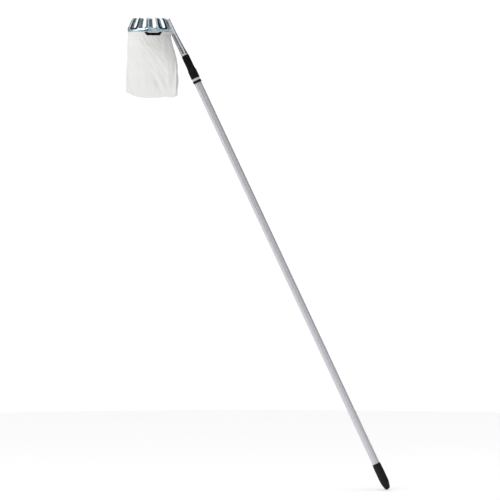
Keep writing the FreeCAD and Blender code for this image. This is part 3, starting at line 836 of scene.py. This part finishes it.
def hang(grid):
    """Lets the cloth hang from the hem until it comes to rest, as points held at the weave's distances."""
    links = cloth_links()
    seed = np.random.default_rng(7)
    now = grid.reshape(-1, 3) + seed.normal(0, JITTER, (ROWS * ROUND, 3))
    pinned, pressed = grid[0].copy(), grid.reshape(-1, 3).copy()
    before = now.copy()
    mirror = (-np.arange(ROUND)) % ROUND
    side = np.sin(TAU * np.arange(ROUND) / ROUND)
    panel = np.array(PANEL_WAY)
    drops = np.array([column_drop(i) for i in range(ROUND)])
    seam = np.outer([seam_place(i) for i in range(ROUND)], np.array(SEAM_WAY)[:2]) * GIRTH / 4 * SEAM_WIDE
    reach = np.outer(np.arange(ROWS), drops / (ROWS - 1))[..., None]  # no thread is longer than it was cut
    for step in range(STEPS):
        shape = now.reshape(ROWS, ROUND, 3)
        push = 9.81 * np.array(HANG) + FILL * grid_normals(shape).reshape(-1, 3)
        fall = push * STEP_TIME * STEP_TIME
        now, before = now + (now - before) * DRAG + fall + (pressed - now) * KEEP, now
        for _ in range(PASSES):
            for a, b, rest, hold in links:
                gap = now[b] - now[a]
                long = np.maximum(np.linalg.norm(gap, axis=1, keepdims=True), 1e-9)
                fix = gap * (0.5 * hold * (1 - rest / long))
                now[a] += fix
                now[b] -= fix
            shape = now.reshape(ROWS, ROUND, 3)
            off = shape - pinned
            far = np.maximum(np.linalg.norm(off, axis=2, keepdims=True), 1e-9)
            shape[:] = pinned + off * np.minimum(reach / far, 1.0)
            shape[-1] = (shape[-1] + shape[-1][mirror]) / 2
            straight = shape[-1, :, :2].mean(axis=0) + seam
            shape[-1, :, :2] += (straight - shape[-1, :, :2]) * SEAM_STIFF
        across = shape[1:-1] @ panel
        inside = np.where(side > 0, np.minimum(across - PANEL_GAP, 0), np.maximum(across + PANEL_GAP, 0))
        shape[1:-1] -= (inside * (np.abs(side) > 0.01))[..., None] * panel
        now = clear_of_pole(shape.reshape(-1, 3))
    shape = now.reshape(ROWS, ROUND, 3)
    for _ in range(SMOOTH):  # canvas is too stiff for the finest ripples
        beside = (np.roll(shape, 1, axis=1) + np.roll(shape, -1, axis=1)) / 2
        shape[1:-1] = shape[1:-1] * 0.4 + beside[1:-1] * 0.3 + (shape[2:] + shape[:-2]) * 0.15
    for seam_column in (0, ROUND // 2):  # the doubled cloth of the side seams bends only gently
        near = np.arange(seam_column - 3, seam_column + 4) % ROUND
        for _ in range(SEAM_SMOOTH):
            shape[1:-1, near] = shape[1:-1, near] * 0.5 + (shape[2:, near] + shape[:-2, near]) * 0.25
    return shape


# each crease: where it starts and ends (across, height; mm), how far it stands out and how wide it is
CREASES = (
    ((-30, -30), (14, -50), 3.4, 6.0),
    ((-6, -56), (30, -92), -2.0, 9.0),
    ((8, -126), (42, -184), -5.0, 6.0),
    ((22, -120), (52, -176), 2.8, 6.0),
    ((54, -12), (66, -52), -5.0, 5.0),
    ((44, -20), (50, -70), 2.6, 6.0),
    ((56, -92), (63, -166), 2.6, 5.0),
    ((-58, -120), (-30, -176), 1.8, 8.0),
)


def crumple(grid):
    """Soft dents and small wrinkles, and the few creases the canvas keeps from having been folded."""
    normals = grid_normals(grid)
    for j in range(1, ROWS - 1):
        fade = smooth_step(0, 7, j) * (1 - 0.8 * smooth_step(ROWS - 8, ROWS - 2, j))
        for i in range(ROUND):
            from_seam = min(i % (ROUND // 2), -i % (ROUND // 2))
            p = Vector(grid[j, i])
            rise = 0.9 * noise.noise(p * 34.0) + 0.25 * noise.noise(p * 110.0 + Vector((7, 3, 1)))
            for start, end, height, width in CREASES:
                if i < ROUND // 2:
                    break
                a, b = Vector(start) * MM, Vector(end) * MM
                at = Vector((p.x, p.z))
                share = min(max((at - a).dot(b - a) / (b - a).length_squared, 0.0), 1.0)
                off = (at - a.lerp(b, share)).length / (width * MM)
                rise += height * exp(-off * off) * sin(pi * (0.1 + 0.8 * share))
            grid[j, i] += normals[j, i] * (fade * rise * smooth_step(0, 5, from_seam) * MM)
    return grid


def weave_map(target, corners):
    """Sets each face corner's UV, in metres of flat cloth, so that the weave keeps its size."""
    layer = target.data.uv_layers.new(name="weave")
    for n, corner in enumerate(corners):
        layer.data[n].uv = corner


def weld(target):
    """Joins points that lie together."""
    mesh = bmesh.new()
    mesh.from_mesh(target.data)
    bmesh.ops.remove_doubles(mesh, verts=mesh.verts, dist=0.05 * MM)
    mesh.to_mesh(target.data)
    mesh.free()


STITCH_EVERY = 3.4 * MM
STITCH_LONG = 2.4 * MM
THREAD_R = 0.28 * MM


def stitches(name, path, body):
    """A row of thread stitches along a path of (point, outward) pairs."""
    points, faces = [], []
    run, due = 0.0, 0.0
    ring_count = 6
    profile = ((-0.5, 0.0), (-0.38, 0.8), (0.0, 1.0), (0.38, 0.8), (0.5, 0.0))  # place and thickness
    for (p, out), (q, _) in zip(path, path[1:]):
        step = (q - p).length
        while step > 1e-9 and due <= run + step:
            way = (q - p) / step
            middle = p + way * (due - run)
            across = way.cross(out).normalized()
            first = len(points)
            for place, size in profile:
                for k in range(ring_count):
                    a = TAU * k / ring_count
                    swell = THREAD_R * size
                    lift = 0.12 * MM * size
                    points.append(middle + way * (place * STITCH_LONG) + out * (lift + swell * sin(a))
                                  + across * (swell * cos(a)))
            for face in grid_faces(len(profile), ring_count):
                faces.append(tuple(first + n for n in face))
            due += STITCH_EVERY
        run += step
    row = piece(name, points, faces)
    weld(row)
    coat(row, THREAD)
    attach(row, body)
    return row


def build_bag():
    """The bag: one cloth, and the stitches of its bottom seam."""
    grid = bag_start()
    grid = hang(grid)
    grid = crumple(grid)
    normals = grid_normals(grid)
    for j in range(2, ROWS - 1):  # the two side seams stand out a little
        rise = 0.9 * MM * (1 - smooth_step(ROWS - 12, ROWS - 2, j))
        grid[j, 0] += np.array(SEAM_WAY) * rise
        grid[j, ROUND // 2] -= np.array(SEAM_WAY) * rise
    points = [EDGE + Vector(p) for p in grid.reshape(-1, 3)]
    bag = piece("bag_cloth", points, grid_faces(ROWS, ROUND))
    corners = []
    for j in range(ROWS - 1):
        for i in range(ROUND):
            for u, v in ((i, j), (i + 1, j), (i + 1, j + 1), (i, j + 1)):
                corners.append((u * GIRTH / ROUND, v * DROP / (ROWS - 1)))
    weave_map(bag, corners)
    weld(bag)
    coat(bag, CANVAS)
    add_modifier(bag, "SUBSURF", levels=1, render_levels=1)
    add_modifier(bag, "SOLIDIFY", thickness=0.45 * MM, offset=-1.0)
    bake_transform(bag)
    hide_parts("bag_neck", "picking_bag")
    row = ROWS - 4
    for name, columns in (("seam_stitch_front", range(ROUND // 2 + 2, ROUND - 1)),
                          ("seam_stitch_back", range(2, ROUND // 2 - 1))):
        path = []
        for i in columns:
            path.append((EDGE + Vector(grid[row, i % ROUND]), Vector(normals[row, i % ROUND])))
        stitches(name, path, "bag")
    return bag


HEM_OUT = 65.6 * MM
HEM_IN = 58.4 * MM
HEM_TOP = -0.5 * MM
HEM_LOW = -10.0 * MM
SLIT_AT = radians(-76.0)
SLIT_HALF = radians(26.5)
SLIT_TOP = -1.0 * MM
SLIT_LIP = 2.6 * MM  # how far the cloth sags over the slit in its middle
SLIT_DEEP = 10.9 * MM
SLIT_SAG = 3.6 * MM  # how much lower the casing hangs under the slit
HEM_STRIP = 32.0 * MM  # the flat width of the cloth that goes round the casing
HEM_ROUND = 288
HEM_SECTION = 40


def slit_sag(a):
    """How much lower the casing hangs at an angle."""
    off = apart(a, SLIT_AT)
    return SLIT_SAG * (1 - smooth_step(SLIT_HALF * 0.7, SLIT_HALF * 1.3, off))


def hem_line(a):
    """The casing's section at one angle, from the slit's lower edge all the way round to its upper edge."""
    off = apart(a, SLIT_AT)
    open_by = SLIT_DEEP * (1 - smooth_step(SLIT_HALF * 0.62, SLIT_HALF, off))
    low = HEM_LOW - slit_sag(a)
    lip = SLIT_LIP * (1 - smooth_step(SLIT_HALF * 0.35, SLIT_HALF * 0.75, off))
    # it is pressed in where the socket passes
    out = HEM_OUT - 1.8 * MM * (1 - smooth_step(radians(10.6), radians(14.0), apart(a)))
    gather = 0.30 * noise.noise(Vector((cos(a) * 9, sin(a) * 9, 0)))
    gather += 0.22 * noise.noise(Vector((cos(a) * 26, sin(a) * 26, 4)))
    corners = soften([
        (out, SLIT_TOP - open_by), (out, low), (HEM_IN, low), (HEM_IN, HEM_TOP), (out, HEM_TOP),
        (out, SLIT_TOP - lip),
    ], 1.7 * MM, 5)
    lengths = [0.0]
    for p, q in zip(corners, corners[1:]):
        lengths.append(lengths[-1] + (q - p).length)
    line = []
    for k in range(HEM_SECTION):
        want = lengths[-1] * k / (HEM_SECTION - 1)
        n = max(i for i, at in enumerate(lengths[:-1]) if at <= want + 1e-12)
        share = (want - lengths[n]) / max(lengths[n + 1] - lengths[n], 1e-12)
        r, z = corners[n].lerp(corners[n + 1], min(share, 1.0))
        if r > HEM_IN + 3 * MM:  # the outside is gathered a little
            belly = sin(pi * min(max((z - low) / (HEM_TOP - low), 0.0), 1.0))
            r += (gather * 0.8 + 0.25) * MM * belly
        line.append((r, z))
    return line


def build_hem():
    """The casing sewn round the hoop, split open at the front."""
    points = []
    for i in range(HEM_ROUND):
        a = TAU * i / HEM_ROUND
        points += [about(r, a, z) for r, z in hem_line(a)]
    faces, corners = [], []
    for i in range(HEM_ROUND):
        for k in range(HEM_SECTION - 1):
            a, b = i * HEM_SECTION + k, (i + 1) % HEM_ROUND * HEM_SECTION + k
            faces.append((a, a + 1, b + 1, b))
            for u, v in ((i, k), (i, k + 1), (i + 1, k + 1), (i + 1, k)):
                corners.append((u * GIRTH / HEM_ROUND, v * HEM_STRIP / HEM_SECTION))
    hem = piece("hem_casing", points, faces)
    weave_map(hem, corners)
    weld(hem)
    coat(hem, CANVAS)
    add_modifier(hem, "SOLIDIFY", thickness=0.7 * MM, offset=-1.0)
    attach(hem, "head")
    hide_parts("bag_hem")
    path = []
    for i in range(HEM_ROUND + 1):
        a = TAU * i / HEM_ROUND
        out = Vector((cos(a), sin(a), 0))
        if apart(a) > radians(14) and slit_sag(a) < 0.5 * SLIT_SAG:
            at = Vector((0, 0, HEM_LOW - slit_sag(a) + 0.3 * MM))
            path.append((EDGE + out * (HEM_OUT - 0.9 * MM) + at, out))
    row = stitches("hem_stitching", path, "head")
    return hem, row


def build_draw_band():
    """The dark band inside the casing, a little slack where it shows."""
    start, end = radians(26), radians(334)  # it stops short of the socket on both sides
    count, points = 260, []
    edge = 0.12 * MM  # its edges curl in by this
    for i in range(count + 1):
        a = start + (end - start) * i / count
        shows = slit_sag(a) / SLIT_SAG
        low = (-7.8 - 3.9 * shows) * MM
        high = (-2.2 + 1.2 * shows) * MM
        slack = noise.noise(Vector((cos(a) * 7, sin(a) * 7, 2)))
        out = (63.6 + 1.0 * shows + 0.25 * slack) * MM
        for r, z in ((out - edge, low), (out, low + 2 * MM), (out, high - 2 * MM), (out - edge, high)):
            points.append(about(r, a, z))
    faces = []
    for i in range(count):
        for k in range(3):
            faces.append((i * 4 + k, i * 4 + k + 1, i * 4 + k + 5, i * 4 + k + 4))
    band = piece("draw_webbing", points, faces)
    add_modifier(band, "SOLIDIFY", thickness=0.9 * MM, offset=-1.0)
    coat(band, WEBBING)
    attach(band, "head")
    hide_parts("draw_band")


# --- making it ---
ZINC = zinc_plate()
BRIGHT = bright_plate()
POLE_COAT = pole_coat()
ALUMINIUM = drawn_aluminium()
BLACK_PLASTIC = moulded("black_plastic", (0.0030, 0.0030, 0.0034), (0.0055, 0.0055, 0.006), 0.38, 0.16)
CAP_PLASTIC = moulded("cap_plastic", (0.0035, 0.0035, 0.004), (0.007, 0.007, 0.0075), 0.42, 0.20)
PALE_PLASTIC = moulded("pale_plastic", (0.62, 0.58, 0.60), (0.70, 0.66, 0.67), 0.38, 0.5)
WIRE = wire()
CANVAS = canvas()
WEBBING = dark_webbing()
THREAD = thread()

build_crown()
build_tube("pole_tube", "outer_tube", "pole", POLE_COAT)
build_tube("slide_tube", "inner_tube", "head", ALUMINIUM)
build_cap()
build_stop_band()
build_nut()
build_socket()
bag = build_bag()
hem, hem_row = build_hem()
build_draw_band()

KEPT = {
    BRIGHT: ("ear_rivets", "socket_screw"),
    PALE_PLASTIC: ("lock_body", "collet", "liner_ring", "wear_ring", "guide_plug", "tip_plug"),
    WIRE: ("hem_hoop", "hem_clips"),
}
for paint, names in KEPT.items():
    for name in names:
        coat(frame["nodes"][name], paint)


# --- studio ---
# what the metal mirrors, in bands of height: the band's upper edge, and a grey at each direction in degrees,
# counted from the front (-Y) towards +X
STUDIO_BANDS = (
    (-0.045, (
        (-180, 0.35), (-119, 0.35), (-113, 1.1), (-46, 1.1), (-40, 0.01), (-6, 0.01), (0, 0.40),
        (180, 0.35))),
    (0.02, (
        (-180, 0.05), (-150, 0.25), (-96, 0.28), (-88, 1.0), (-76, 1.0), (-69, 0.30), (-12, 0.34), (-4, 0.80),
        (4, 0.80), (9, 0.22), (14, 0.22), (22, 0.55), (44, 0.55), (50, 0.02), (58, 0.02), (64, 0.60),
        (132, 0.50), (142, 0.05), (180, 0.05))),
    (0.18, (
        (-180, 0.05), (-150, 0.30), (-96, 0.35), (-88, 1.0), (-64, 1.0), (-56, 0.03), (-6, 0.01), (2, 0.02),
        (10, 0.50), (44, 0.60), (54, 0.25), (66, 0.50), (132, 0.50), (142, 0.05), (180, 0.05))),
    (0.55, (
        (-180, 0.08), (-158, 0.08), (-148, 0.50), (-124, 0.50), (-114, 0.01), (-75, 0.01), (-60, 0.35),
        (10, 0.42), (62, 0.60), (84, 0.03), (112, 0.01), (122, 0.34), (140, 0.30), (150, 0.08), (180, 0.08))),
    (0.90, (
        (-180, 0.25), (-128, 0.25), (-118, 0.01), (-76, 0.01), (-60, 0.22), (-34, 0.27), (-26, 0.10),
        (-14, 0.10), (-4, 0.75), (32, 0.65), (42, 0.06), (56, 0.01), (118, 0.01), (130, 0.25), (180, 0.25))),
)
# the soft light on everything that isn't bright metal: from -X, from +X and from above
LIGHT_LEFT = (0.78, 0.78, 0.78)
LIGHT_RIGHT = (0.02, 0.02, 0.025)
LIGHT_ABOVE = (0.87, 0.87, 0.87)


def studio_world():
    """White to the eye. What the metal mirrors is a studio: soft white sides, dark gaps, a bright ceiling."""
    world = bpy.data.worlds.new("studio")
    world.use_nodes = True
    bpy.context.scene.world = world
    sky = Nodes(world.node_tree)
    way = sky.node("SeparateXYZ", {0: sky.node("TexCoord").outputs["Generated"]})
    x, y, z = way.outputs
    turn = sky.math("ARCTAN2", x, sky.math("MULTIPLY", y, -1.0))
    turn = sky.spread(turn, -pi, pi)
    colour, edge = None, 0.0
    for top, stops in STUDIO_BANDS:
        band = sky.ramp(turn, [((at + 180) / 360, grey) for at, grey in stops])
        over = 0.01 + 0.05 * abs(edge)
        colour = band if colour is None else sky.blend(sky.spread(z, edge - over, edge + over), colour, band)
        edge = top
    colour = sky.blend(sky.spread(z, edge - 0.02, edge + 0.03), colour, (0.8, 0.8, 0.8))
    path = sky.node("LightPath").outputs
    soft = sky.blend(sky.spread(x, -1.0, 1.0), LIGHT_LEFT, LIGHT_RIGHT)
    soft = sky.blend(sky.spread(z, 0.35, 0.8), soft, LIGHT_ABOVE)
    colour = sky.blend(path["Is Diffuse Ray"], colour, soft)
    eye = path["Is Camera Ray"]
    seen = sky.blend(eye, colour, (1.0, 1.0, 1.0))
    strength = sky.spread(eye, 0.0, 1.0, 1.3, 1.05)
    back = world.node_tree.nodes["Background"]
    sky.plug(seen, back.inputs["Color"])
    sky.plug(strength, back.inputs["Strength"])


def area_light(name, place, aim, size, power):
    lamp = bpy.data.lights.new(name, "AREA")
    lamp.shape = "RECTANGLE"
    lamp.size, lamp.size_y = size
    lamp.energy = power
    made = bpy.data.objects.new(name, lamp)
    made.location = place
    made.rotation_euler = (aim - Vector(place)).to_track_quat("-Z", "Y").to_euler()
    bpy.context.scene.collection.objects.link(made)
    return made


studio_world()
middle = (CAD_BOX[0] + CAD_BOX[1]) / 2
area_light("key", (-2.6, -2.4, 2.4), Vector(middle), (1.6, 1.6), 20.0)
fill = area_light("fill", (2.3, 0.2, 1.0), Vector(middle), (1.2, 1.6), 7.0)
fill.visible_glossy = False  # the metal doesn't mirror it

FLOOR_R = 3.2
FLOOR_Z = -2.5 * MM  # just under the end cap's lowest edge
turns = [TAU * i / 96 for i in range(96)]
rim = [(middle[0] + FLOOR_R * cos(a), FLOOR_R * sin(a), FLOOR_Z) for a in turns]
floor = piece("floor", rim, [tuple(range(96))])
coat(floor, pale_floor())

lens = bpy.data.cameras.new("camera")
camera = bpy.data.objects.new("camera", lens)
bpy.context.scene.collection.objects.link(camera)
bpy.context.scene.camera = camera
AIM = EDGE + Vector((0.3015, 0, -0.654))  # the middle of the view
FAR = 12.0  # from the camera to there
VIEW_WIDE = 1.5  # how much the view takes in at that distance
EYE_UP = radians(2.0)  # the camera looks down by this
EYE_TURN = radians(1.8)  # and is this far round towards +X
lens.sensor_width = 36.0
lens.lens = lens.sensor_width * FAR / VIEW_WIDE
lens.clip_end = 200.0
camera.location = AIM + Vector((
    sin(EYE_TURN) * cos(EYE_UP), -cos(EYE_TURN) * cos(EYE_UP), sin(EYE_UP))) * FAR
camera.rotation_euler = (AIM - camera.location).to_track_quat("-Z", "Y").to_euler()

bpy.context.scene.view_settings.view_transform = "Standard"
